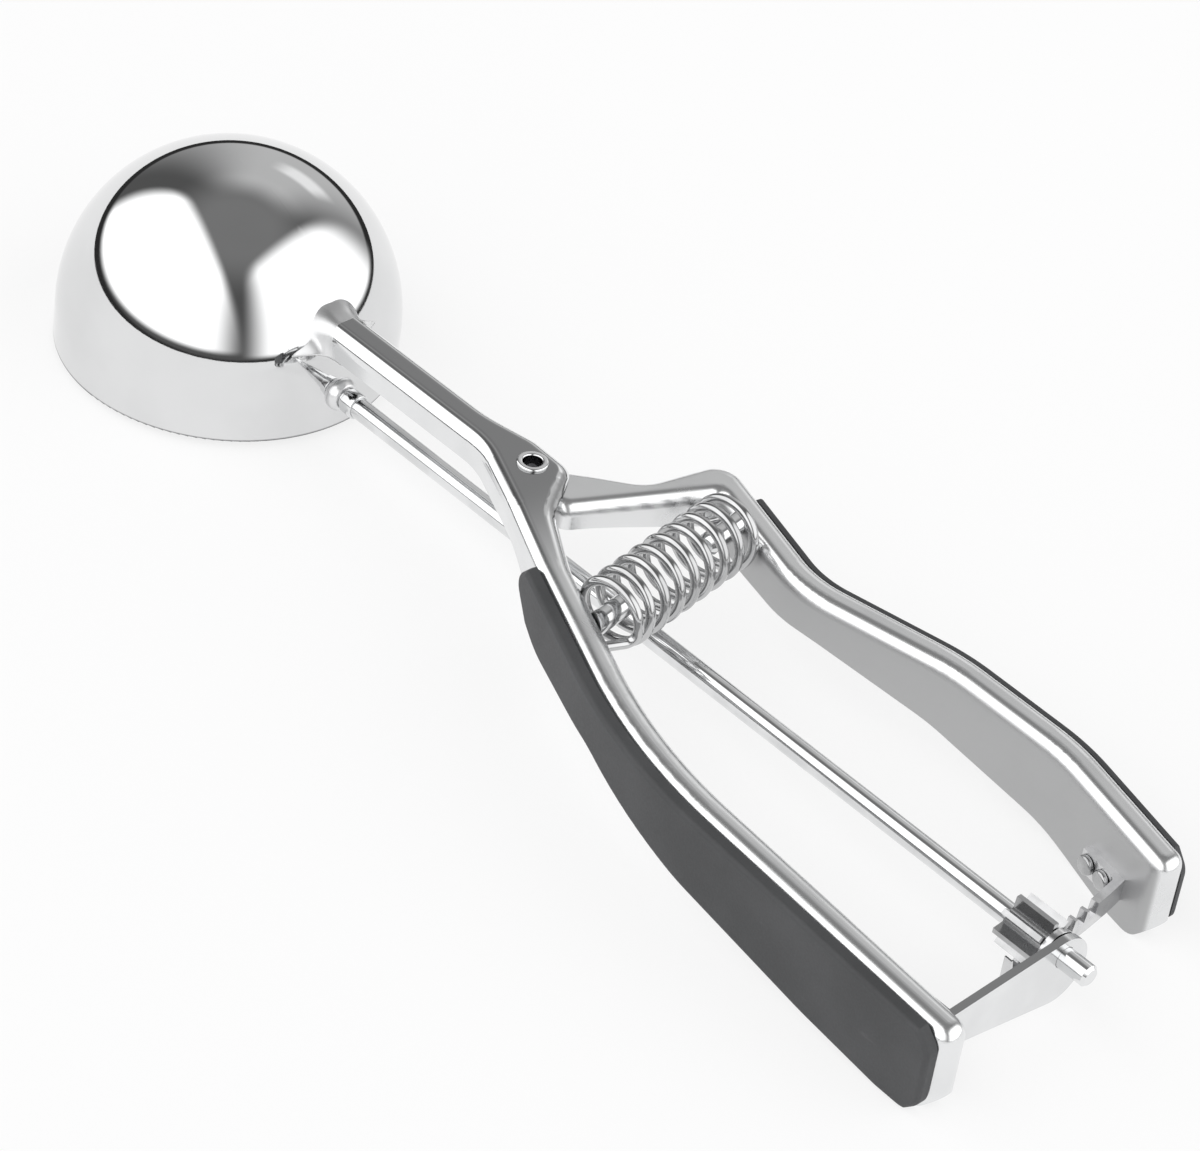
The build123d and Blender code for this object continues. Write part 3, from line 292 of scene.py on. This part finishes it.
gripRubber = rubberFinish({
    "name": "grip_rubber", "tone": (0.045, 0.046, 0.048), "roughness": 0.62,
    "dustTone": (0.062, 0.063, 0.066), "dustScale": 60, "dustDetail": 4, "dustSpan": (0.3, 0.75),
    "scuffTone": (0.11, 0.11, 0.115), "scuffShare": 0.35, "scuffSpan": (0.66, 0.78),
    "scuffStretch": (0.25, 1, 1), "scuffScale": 500, "scuffDetail": 3,
    "grainScale": 2400, "grainDetail": 2, "grainRough": 0.18, "bump": 0.35, "bumpHeight": 0.00006,
})

# the nodes that show their own solids
finishes = {
    "bowl": bowlSteel, "fixed_handle": fixedSteel, "moving_handle": movingSteel, "rear_bracket": bracketSteel,
    "sweep_blade": pressedSteel, "rack": cutSteel, "pinion": darkSteel, "rear_washer": cutSteel,
    "pivot_washer": cutSteel, "blade_hub": cutSteel, "front_collar": cutSteel, "drive_rod": drawnSteel,
    "fixed_spring_pin": drawnSteel, "moving_spring_pin": drawnSteel,
    "fixed_grip": gripRubber, "moving_grip": gripRubber,
}
for name, finish in finishes.items():
    nodes[name].data.materials.clear()
    nodes[name].data.materials.append(finish)
print("finishes:", len(finishes), "nodes dressed")


# A mesh from a grid of points, rows by columns. Columns wrap round, rows too if closed, and each end row may
# close on one point.
def gridPiece(name, grid, material, startPoint=None, endPoint=None, closed=False):
    rows, columns = grid.shape[:2]
    index = np.arange(rows * columns).reshape(rows, columns)
    nextColumn = np.roll(index, -1, axis=1)
    corners = [index, nextColumn, np.roll(nextColumn, -1, axis=0), np.roll(index, -1, axis=0)]
    quads = np.stack(corners, axis=-1)[:rows if closed else rows - 1].reshape(-1, 4)
    points = grid.reshape(-1, 3)
    faces = quads.tolist()
    for end, ring, turned in ((startPoint, 0, True), (endPoint, rows - 1, False)):
        if end is None:
            continue
        points = np.vstack([points, end])
        tip = np.full(columns, len(points) - 1)
        fan = [tip, nextColumn[ring], index[ring]] if turned else [tip, index[ring], nextColumn[ring]]
        faces += np.stack(fan, axis=-1).tolist()
    mesh = bpy.data.meshes.new(name)
    mesh.from_pydata(points.tolist(), [], faces)
    mesh.polygons.foreach_set("use_smooth", np.ones(len(mesh.polygons), bool))
    mesh.materials.append(material)
    mesh.update()
    piece = bpy.data.objects.new(name, mesh)
    bpy.context.scene.collection.objects.link(piece)
    return piece


# Return spring: sizes in millimetres, places behind the pivot and across from the rod.
spring = {
    "wire": 1.6, "coil": 10.8, "turns": 8.5, "easeTurns": 0.5, "height": 9.4, "endBend": 2.0, "endArm": 0.55,
    "fixedWall": ((20.6, -10.2), (54.6, -23.7)), "fixedAt": 30.4, "fixedStand": 3.4,
    "movingWall": ((18.9, 22.0), (41.1, 16.7)), "movingAt": 24.6, "movingStand": 2.4,
    "stepsPerTurn": 64, "endSteps": 12, "sides": 20,
}


def unit(vectors):
    return vectors / np.linalg.norm(vectors, axis=-1, keepdims=True)


# a smooth bend from one point to another, a cubic curve that leaves along one way and arrives along the other
def bendPath(start, startWay, stop, stopWay, arm, steps):
    t = np.linspace(0, 1, steps, endpoint=False)[:, None]
    firstHandle = start + startWay * arm
    lastHandle = stop - stopWay * arm
    return ((1 - t) ** 3 * start + 3 * (1 - t) ** 2 * t * firstHandle
            + 3 * (1 - t) * t ** 2 * lastHandle + t ** 3 * stop)


# The wire's middle line: a straight foot on each wall, a bend, and a helix whose lead eases in at its start
# and out at its end, where the climb goes with the square of the turns.
def springLine(s):
    feet = []
    for wall, at in ((s["fixedWall"], s["fixedAt"]), (s["movingWall"], s["movingAt"])):
        (x0, y0), (x1, y1) = wall
        across = y0 + (y1 - y0) * (at - x0) / (x1 - x0)
        feet.append(np.array([pivotReach / millimetre + at, across, s["height"]]))
    base, far = feet
    axis = unit(far - base)
    side = np.array([axis[1], -axis[0], 0])
    lifted = np.array([0, 0, 1.0])
    fixedWay = unit(np.append(np.subtract(*s["fixedWall"][::-1]), 0))
    movingWay = unit(np.append(np.subtract(*s["movingWall"][::-1]), 0))
    fixedNormal = np.array([-fixedWay[1], fixedWay[0], 0])
    movingNormal = np.array([movingWay[1], -movingWay[0], 0])
    length = np.linalg.norm(far - base) - s["fixedStand"] - s["movingStand"]
    ease = s["easeTurns"]
    lead = length / (s["turns"] - ease)
    turns = np.linspace(0, s["turns"], int(s["turns"] * s["stepsPerTurn"]) + 1)
    left = s["turns"] - turns
    steady = lead * (turns - ease / 2)
    climb = np.where(left < ease, length - lead * left ** 2 / (2 * ease), steady)
    climb = np.where(turns < ease, lead * turns ** 2 / (2 * ease), climb)
    angle = 2 * np.pi * turns[:, None]
    radius = s["coil"] / 2
    helix = (base + axis * (s["fixedStand"] + climb[:, None])
             + side * radius * np.cos(angle) + lifted * radius * np.sin(angle))
    startWay = lifted
    lastAngle = 2 * np.pi * s["turns"]
    stopWay = lifted * np.cos(lastAngle) - side * np.sin(lastAngle)
    legStart = helix[0] - (startWay + fixedNormal) * s["endBend"]
    legStop = helix[-1] + (stopWay - movingNormal) * s["endBend"]
    footStart = legStart - fixedNormal * ((legStart - base) @ fixedNormal)
    footStop = legStop - movingNormal * ((legStop - far) @ movingNormal)
    arm = s["endArm"] * s["endBend"]
    steps = s["endSteps"]
    share = np.linspace(0, 1, steps, endpoint=False)[:, None]
    line = np.vstack([
        footStart + (legStart - footStart) * share,
        bendPath(legStart, fixedNormal, helix[0], startWay, arm, steps),
        helix[:-1],
        bendPath(helix[-1], stopWay, legStop, -movingNormal, arm, steps),
        legStop + (footStop - legStop) * share,
        footStop[None],
    ])
    return line, base, axis, far


# A round wire along a line: circles square to it, set out from the spring's axis so that they never twist.
def wirePiece(name, s, material):
    line, base, axis, far = springLine(s)
    way = unit(np.gradient(line, axis=0))
    outward = line - base - ((line - base) @ axis)[:, None] * axis
    normal = unit(outward - (outward * way).sum(1, keepdims=True) * way)
    binormal = np.cross(way, normal)
    angle = np.linspace(0, 2 * np.pi, s["sides"], endpoint=False)
    ring = (np.cos(angle)[None, :, None] * normal[:, None] + np.sin(angle)[None, :, None] * binormal[:, None])
    grid = line[:, None] + ring * s["wire"] / 2
    piece = gridPiece(name, place(grid), material, place(line[0]), place(line[-1]))
    return piece, place(base), place(far)


springPiece, springFoot, springFar = wirePiece("return_spring_wire", spring, springSteel)
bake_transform(springPiece)
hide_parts("return_spring")
print("spring:", len(springPiece.data.polygons), "faces")

# Turned pieces, in millimetres: corners of a profile as places along the axis, radii, and how far each is
# rounded. A profile without a bore starts and stops almost on the axis.
axisGap = 0.02
turnedSides, roundSteps = 72, 7
nearlyUpright = 0.9  # an axis nearer to upright than this takes its first side from the rod
bush = {
    "node": "rod_bush", "body": "frame", "steel": weldSteel,
    "profile": [(27.0, 1.8, 0.05), (27.0, 2.2, 0.05), (27.92, 2.2, 0.05), (27.87, 2.8, 0.05),
                (28.5, 2.8, 0.30), (29.5, 2.2, 0.30), (29.5, 1.8, 0.05)],
}
collar = {
    "node": "rod_collar", "body": "sweep", "steel": drawnSteel,
    "profile": [(30.0, 1.76, 0.05), (30.0, 2.1, 0.25), (32.6, 2.1, 0.25), (32.6, 1.76, 0.05)],
}
pin = {
    "node": "front_pin", "body": "sweep", "steel": drawnSteel,
    "profile": [(24.1, axisGap, 0), (24.1, 1.5, 0.2), (28.35, 1.5, 0.1), (28.35, 2.6, 0.1),
                (29.45, 2.6, 0.8), (29.45, axisGap, 0)],
}
eyelet = {
    "node": "pivot_eyelet", "body": "frame", "steel": eyeletSteel,
    "profile": [(10.5, 1.5, 0.1), (10.5, 2.5, 0.25), (11.0, 2.5, 0.05), (11.0, 2.0, 0.05),
                (13.9, 2.0, 0.05), (13.9, 2.5, 0.05), (14.4, 2.5, 0.40), (14.4, 1.5, 0.40)],
}
rivet = {"shank": 1.0, "head": 1.6, "rise": 0.9, "round": 0.65, "edge": 0.1}


# Profile with its corners rounded: each is a parabola between two points set back from it along both edges.
def roundedProfile(corners):
    corners = np.asarray(corners, float)
    spots, setback = corners[:, :2], corners[:, 2:]
    before = spots + unit(np.roll(spots, 1, axis=0) - spots) * setback
    after = spots + unit(np.roll(spots, -1, axis=0) - spots) * setback
    t = np.linspace(0, 1, roundSteps)[:, None]
    curves = [(1 - t) ** 2 * first + 2 * t * (1 - t) * spot + t ** 2 * last if back > 0 else spot[None]
              for first, spot, last, back in zip(before, spots, after, setback)]
    return np.vstack(curves)


# Turned piece: the profile carried round an axis through a point. A profile with a bore closes on itself, and
# one without closes on the axis at both ends.
def turnedPiece(t, middle, axis):
    node, body = t["node"], t["body"]
    profile = roundedProfile(t["profile"]) * millimetre
    standing = abs(axis @ upright) > nearlyUpright
    aside = unit(np.cross(axis, alongRod if standing else upright))
    turn = np.linspace(0, 2 * np.pi, turnedSides, endpoint=False)[None, :, None]
    ring = np.cos(turn) * aside + np.sin(turn) * np.cross(axis, aside)
    grid = middle + profile[:, None, :1] * axis + profile[:, None, 1:] * ring
    bored = t["profile"][0][2] > 0
    ends = [None if bored else middle + profile[row, 0] * axis for row in (0, -1)]
    piece = gridPiece(node + "_turned", grid, t["steel"], *ends, closed=bored)
    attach(piece, body)
    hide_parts(node)


# Rivet: a shank and two heads, the far one rounded, as long as its node and about its node's middle.
def rivetPiece(node, axis, steel, body):
    mesh = nodes[node].data
    points = np.empty(3 * len(mesh.vertices))
    mesh.vertices.foreach_get("co", points)
    turned = np.array(nodes[node].matrix_world)
    points = points.reshape(-1, 3) @ turned[:3, :3].T + turned[:3, 3]
    own = np.array([axis, np.cross(upright, axis), upright])
    low, high = (points @ own.T).min(0), (points @ own.T).max(0)
    half = (high - low)[0] / 2 / millimetre
    shank, head, rise, edge = (rivet[key] for key in ("shank", "head", "rise", "edge"))
    corners = [(-half, axisGap, 0), (-half, head, edge), (rise - half, head, edge),
               (rise - half, shank, edge), (half - rise, shank, edge),
               (half - rise, head, edge), (half, head, rivet["round"]), (half, axisGap, 0)]
    made = {"node": node, "body": body, "steel": steel, "profile": corners}
    turnedPiece(made, (low + high) / 2 @ own, axis)


turnedPiece(bush, bowlMiddle, alongRod)
turnedPiece(collar, bowlMiddle, alongRod)
turnedPiece(pin, bowlMiddle, -alongRod)
turnedPiece(eyelet, place((pivotReach / millimetre, 0, 0)), upright)
(wallX, wallY), (farX, farY) = spring["movingWall"]
rackWay = unit((farY - wallY) * alongRod - (farX - wallX) * acrossHandles)
for end in ("front", "rear"):
    rivetPiece("rack_rivet_" + end, rackWay, darkSteel, "lever")
    rivetPiece("bracket_rivet_" + end, acrossHandles, pressedSteel, "frame")
print("turned: bush, collar, pin, eyelet and four rivets")

# Root of the shank: the weld that spreads the pressed channel onto the dome, in millimetres.
root = {
    "dome": 28.0, "halfWidth": 3.5, "top": 13.9, "low": 8.7, "bend": 2.6, "reach": 5.0, "flare": 1.25,
    "curve": 3.0, "tongue": 5.0, "tongueHeight": 1.5, "tongueCurve": 8.0, "tuck": 0.05, "wall": 1.0,
    "sink": 0.15, "sewn": 0.001, "rows": 28, "sideSteps": 10, "bendSteps": 14,
}


# The channel's section from its left lower edge over the top to the right one, with the outward way at each
# point: two straight sides and two quarter rounds.
def channelSection(r):
    side = np.linspace(r["low"], r["top"] - r["bend"], r["sideSteps"], endpoint=False)
    angle = np.linspace(np.pi, np.pi / 2, r["bendSteps"])
    bendY = -(r["halfWidth"] - r["bend"]) + r["bend"] * np.cos(angle)
    bendZ = r["top"] - r["bend"] + r["bend"] * np.sin(angle)
    straight = np.column_stack([np.full_like(side, -r["halfWidth"]), side])
    left = np.vstack([straight, np.column_stack([bendY, bendZ])])
    leftWay = np.vstack([np.tile([-1.0, 0], (len(side), 1)), np.column_stack([np.cos(angle), np.sin(angle)])])
    mirrored = np.array([-1, 1])
    return np.vstack([left, left[::-1] * mirrored]), np.vstack([leftWay, leftWay[::-1] * mirrored])


# Flare: the section grows outwards by a power of how near the dome is, and follows the dome's round. At each
# lower edge a higher power draws a thin tongue along the dome, which fades with height as a bell curve. The
# loop runs over the outside and back along the inside, and both ends close on the sheet's middle.
def rootPiece(name, r, material):
    section, outward = channelSection(r)
    share = np.linspace(0, 1, r["rows"])[:, None, None]
    lowness = np.exp(-((section[:, 1:] - r["low"]) / r["tongueHeight"]) ** 2)
    spread = (r["flare"] * (1 - share) ** r["curve"] + r["tongue"] * lowness * (1 - share) ** r["tongueCurve"]
              - r["tuck"] * share)
    inner = spread - r["wall"]
    middle = spread - r["wall"] / 2
    rings = []
    for first, second in ((middle[:1], middle[:1]), (spread, inner), (middle[-1:], middle[-1:])):
        outside, inside = section + outward * first, section + outward * second
        rings.append(np.concatenate([outside, inside[:, ::-1]], axis=1))
    flat = np.concatenate(rings)
    along = np.concatenate([share[:1], share, share[-1:]])[:, :, 0] * r["reach"] - r["sink"]
    dome = np.sqrt(r["dome"] ** 2 - (flat ** 2).sum(-1))
    piece = gridPiece(name, place(np.dstack([dome + along, flat])), material)
    shape = bmesh.new()  # both ends are sewn up where their inner and outer points meet
    shape.from_mesh(piece.data)
    bmesh.ops.remove_doubles(shape, verts=shape.verts, dist=r["sewn"] * millimetre)
    bmesh.ops.recalc_face_normals(shape, faces=shape.faces)
    shape.to_mesh(piece.data)
    shape.free()
    return piece


rootFlare = rootPiece("shank_root_flare", root, weldSteel)
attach(rootFlare, "frame")
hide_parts("dome_saddle")
print("root:", len(rootFlare.data.polygons), "faces")

# Table: a wide pale disc under the scoop, in metres.
table = {
    "radius": 3.0, "drop": 0.00005, "rings": 24, "firstRing": 0.01, "sides": 96, "tone": (0.95, 0.95, 0.95),
    "otherTone": (0.93, 0.93, 0.935), "grainScale": 6, "grainDetail": 3, "grainSpan": (0.3, 0.7),
    "roughness": 0.9, "gloss": 0.1, "whiteShare": 0.78,
}


# rings of a flat disc, each further out than the last by the same ratio
def tableDisc(t):
    radii = t["radius"] * np.geomspace(t["firstRing"], 1, t["rings"])[:, None]
    turn = np.linspace(0, 2 * np.pi, t["sides"], endpoint=False)[None]
    height = np.full((t["rings"], t["sides"]), -t["drop"])
    return np.stack([radii * np.cos(turn), radii * np.sin(turn), height], axis=-1)


# Pale paper: diffuse, with part of it shown as plain white to the camera and in reflections.
def tableFinish(t):
    material, shader, start = newFinish("pale_table")
    shader.inputs["Roughness"].default_value = t["roughness"]
    shader.inputs["Specular IOR Level"].default_value = t["gloss"]
    grain = noise(start, grainSpace(start, (1, 1, 1)), t["grainScale"], t["grainDetail"])
    plug(grain.step(*t["grainSpan"]).mixColour((*t["tone"], 1), (*t["otherTone"], 1)), shader, "Base Color")
    seen = [start.node("ShaderNodeLightPath", output=name)
            for name in ("Is Camera Ray", "Is Glossy Ray", "Is Transmission Ray")]
    shown = seen[0].math("MAXIMUM", seen[1]).math("MAXIMUM", seen[2])
    white = start.node("ShaderNodeEmission", None, {"Strength": 1.0})
    mixed = start.node("ShaderNodeMixShader", None,
                       {0: shown * t["whiteShare"], 1: Wire(start.tree, shader.outputs[0]), 2: white})
    start.tree.links.new(mixed.socket, start.tree.nodes["Material Output"].inputs["Surface"])
    return material


tablePiece = gridPiece("table_disc", tableDisc(table), tableFinish(table), (0, 0, -table["drop"]))
print("table: laid")

# Studio round the table: grey walls and ceiling, then flat softboxes, in degrees and brightness. A softbox
# faces the table from its turn. Its peak is its height over its distance, and left and right are its edges.
studio = {
    "wall": 0.10, "backWall": 0.58, "ceiling": 0.22, "ceilingRise": (40, 72),
    "skirting": 0.03, "skirtingTop": 3.2, "skirtingLess": 2.2, "skirtingSoft": 1, "frontTurn": -49,
    "backTurn": 122, "backEdge": (8, 50), "backTop": (46, 68),
    "boxes": [
        {"turn": -112, "left": -70, "right": 84, "peak": 3.6, "low": 3, "softLeft": 12, "softRight": 30,
         "softTop": 0.55, "softLow": 5, "light": 1.75},
        {"turn": 15, "left": -48, "right": 78, "peak": 2.7, "low": 1, "softLeft": 26, "softRight": 24,
         "softTop": 0.55, "softLow": 4, "light": 1.65},
        {"turn": 113, "left": -15, "right": 15, "peak": 0.67, "low": 17, "softLeft": 10, "softRight": 10,
         "softTop": 0.10, "softLow": 6, "light": 1.0},
    ],
}


# brightness of the studio by direction: greys by height, then each softbox as a soft-edged window
def studioLight(s):
    world = bpy.data.worlds.new("studio")
    bpy.context.scene.world = world
    world.use_nodes = True
    start = Wire(world.node_tree)
    way = start.node("ShaderNodeTexCoord", output="Generated")  # in a world, the direction
    x, y, z = (start.node("ShaderNodeSeparateXYZ", None, {0: way}, axis) for axis in range(3))
    degrees = math.degrees(1)
    rise = z.math("ARCSINE") * degrees

    def facing(turn):  # how far a direction points along a turn, and how many degrees it lies from it
        cosine, sine = math.cos(math.radians(turn)), math.sin(math.radians(turn))
        forward = x * cosine + y * sine
        sideways = y * cosine - x * sine
        return forward, sideways.math("ARCTAN2", forward) * degrees

    back = 1 - facing(s["backTurn"])[1].math("ABSOLUTE").step(*s["backEdge"])
    back = back * (1 - rise.step(*s["backTop"]))
    ceiling = rise.step(*s["ceilingRise"])
    light = s["wall"] + ceiling * (s["ceiling"] - s["wall"]) + back * (s["backWall"] - s["wall"])
    skirtingTop = s["skirtingTop"] - facing(s["frontTurn"])[0] * s["skirtingLess"]
    overSkirting = (rise - skirtingTop).step(-s["skirtingSoft"], s["skirtingSoft"])
    light = s["skirting"] + overSkirting * (light - s["skirting"])
    for box in s["boxes"]:
        forward, aside = facing(box["turn"])
        window = aside.step(box["left"], box["left"] + box["softLeft"])
        window = window * (1 - aside.step(box["right"] - box["softRight"], box["right"]))
        window = window * (forward * box["peak"] - z).step(0, box["softTop"])
        window = window * rise.step(box["low"], box["low"] + box["softLow"])
        light = light * (1 - window) + window * box["light"]
    camera = start.node("ShaderNodeLightPath", output="Is Camera Ray")
    strength = light * (1 - camera) + camera
    shade = start.tree.nodes["Background"]
    shade.inputs["Color"].default_value = (1, 1, 1, 1)
    plug(strength, shade, "Strength")


studioLight(studio)
print("studio: lit")

# Camera: where the photograph was taken from, in degrees and millimetres about a point of the scoop.
view = {"turn": 41.872, "rise": 37.828, "roll": 8.991, "away": 693.773, "aim": (80.127, 9.353, -6.27),
        "lens": 135, "sensor": 36, "near": 0.01, "far": 20}


# camera axes: right along the turned table, back towards the eye, then both rolled
def photoCamera(v):
    turn, rise, roll = (math.radians(v[key]) for key in ("turn", "rise", "roll"))
    level = np.array([math.cos(turn), math.sin(turn), 0])
    toward = np.array([math.sin(turn), -math.cos(turn), 0])
    back = toward * math.cos(rise) + np.array([0, 0, math.sin(rise)])
    lifted = np.cross(back, level)
    right = math.cos(roll) * level + math.sin(roll) * lifted
    top = math.cos(roll) * lifted - math.sin(roll) * level
    axes = np.array([alongRod, acrossHandles, upright])
    eye = place(np.array(v["aim"]) + back * v["away"])
    matrix = np.eye(4)
    matrix[:3, :3] = np.column_stack([right @ axes, top @ axes, back @ axes])
    matrix[:3, 3] = eye
    lens = bpy.data.cameras.new("photo_camera")
    lens.lens = v["lens"]
    lens.sensor_width = v["sensor"]
    lens.sensor_fit = "HORIZONTAL"
    lens.clip_start = v["near"]
    lens.clip_end = v["far"]
    camera = bpy.data.objects.new("photo_camera", lens)
    camera.matrix_world = Matrix(matrix.tolist())
    bpy.context.scene.collection.objects.link(camera)
    bpy.context.scene.camera = camera


photoCamera(view)
bpy.context.scene.view_settings.view_transform = "Standard"
print("camera: set")
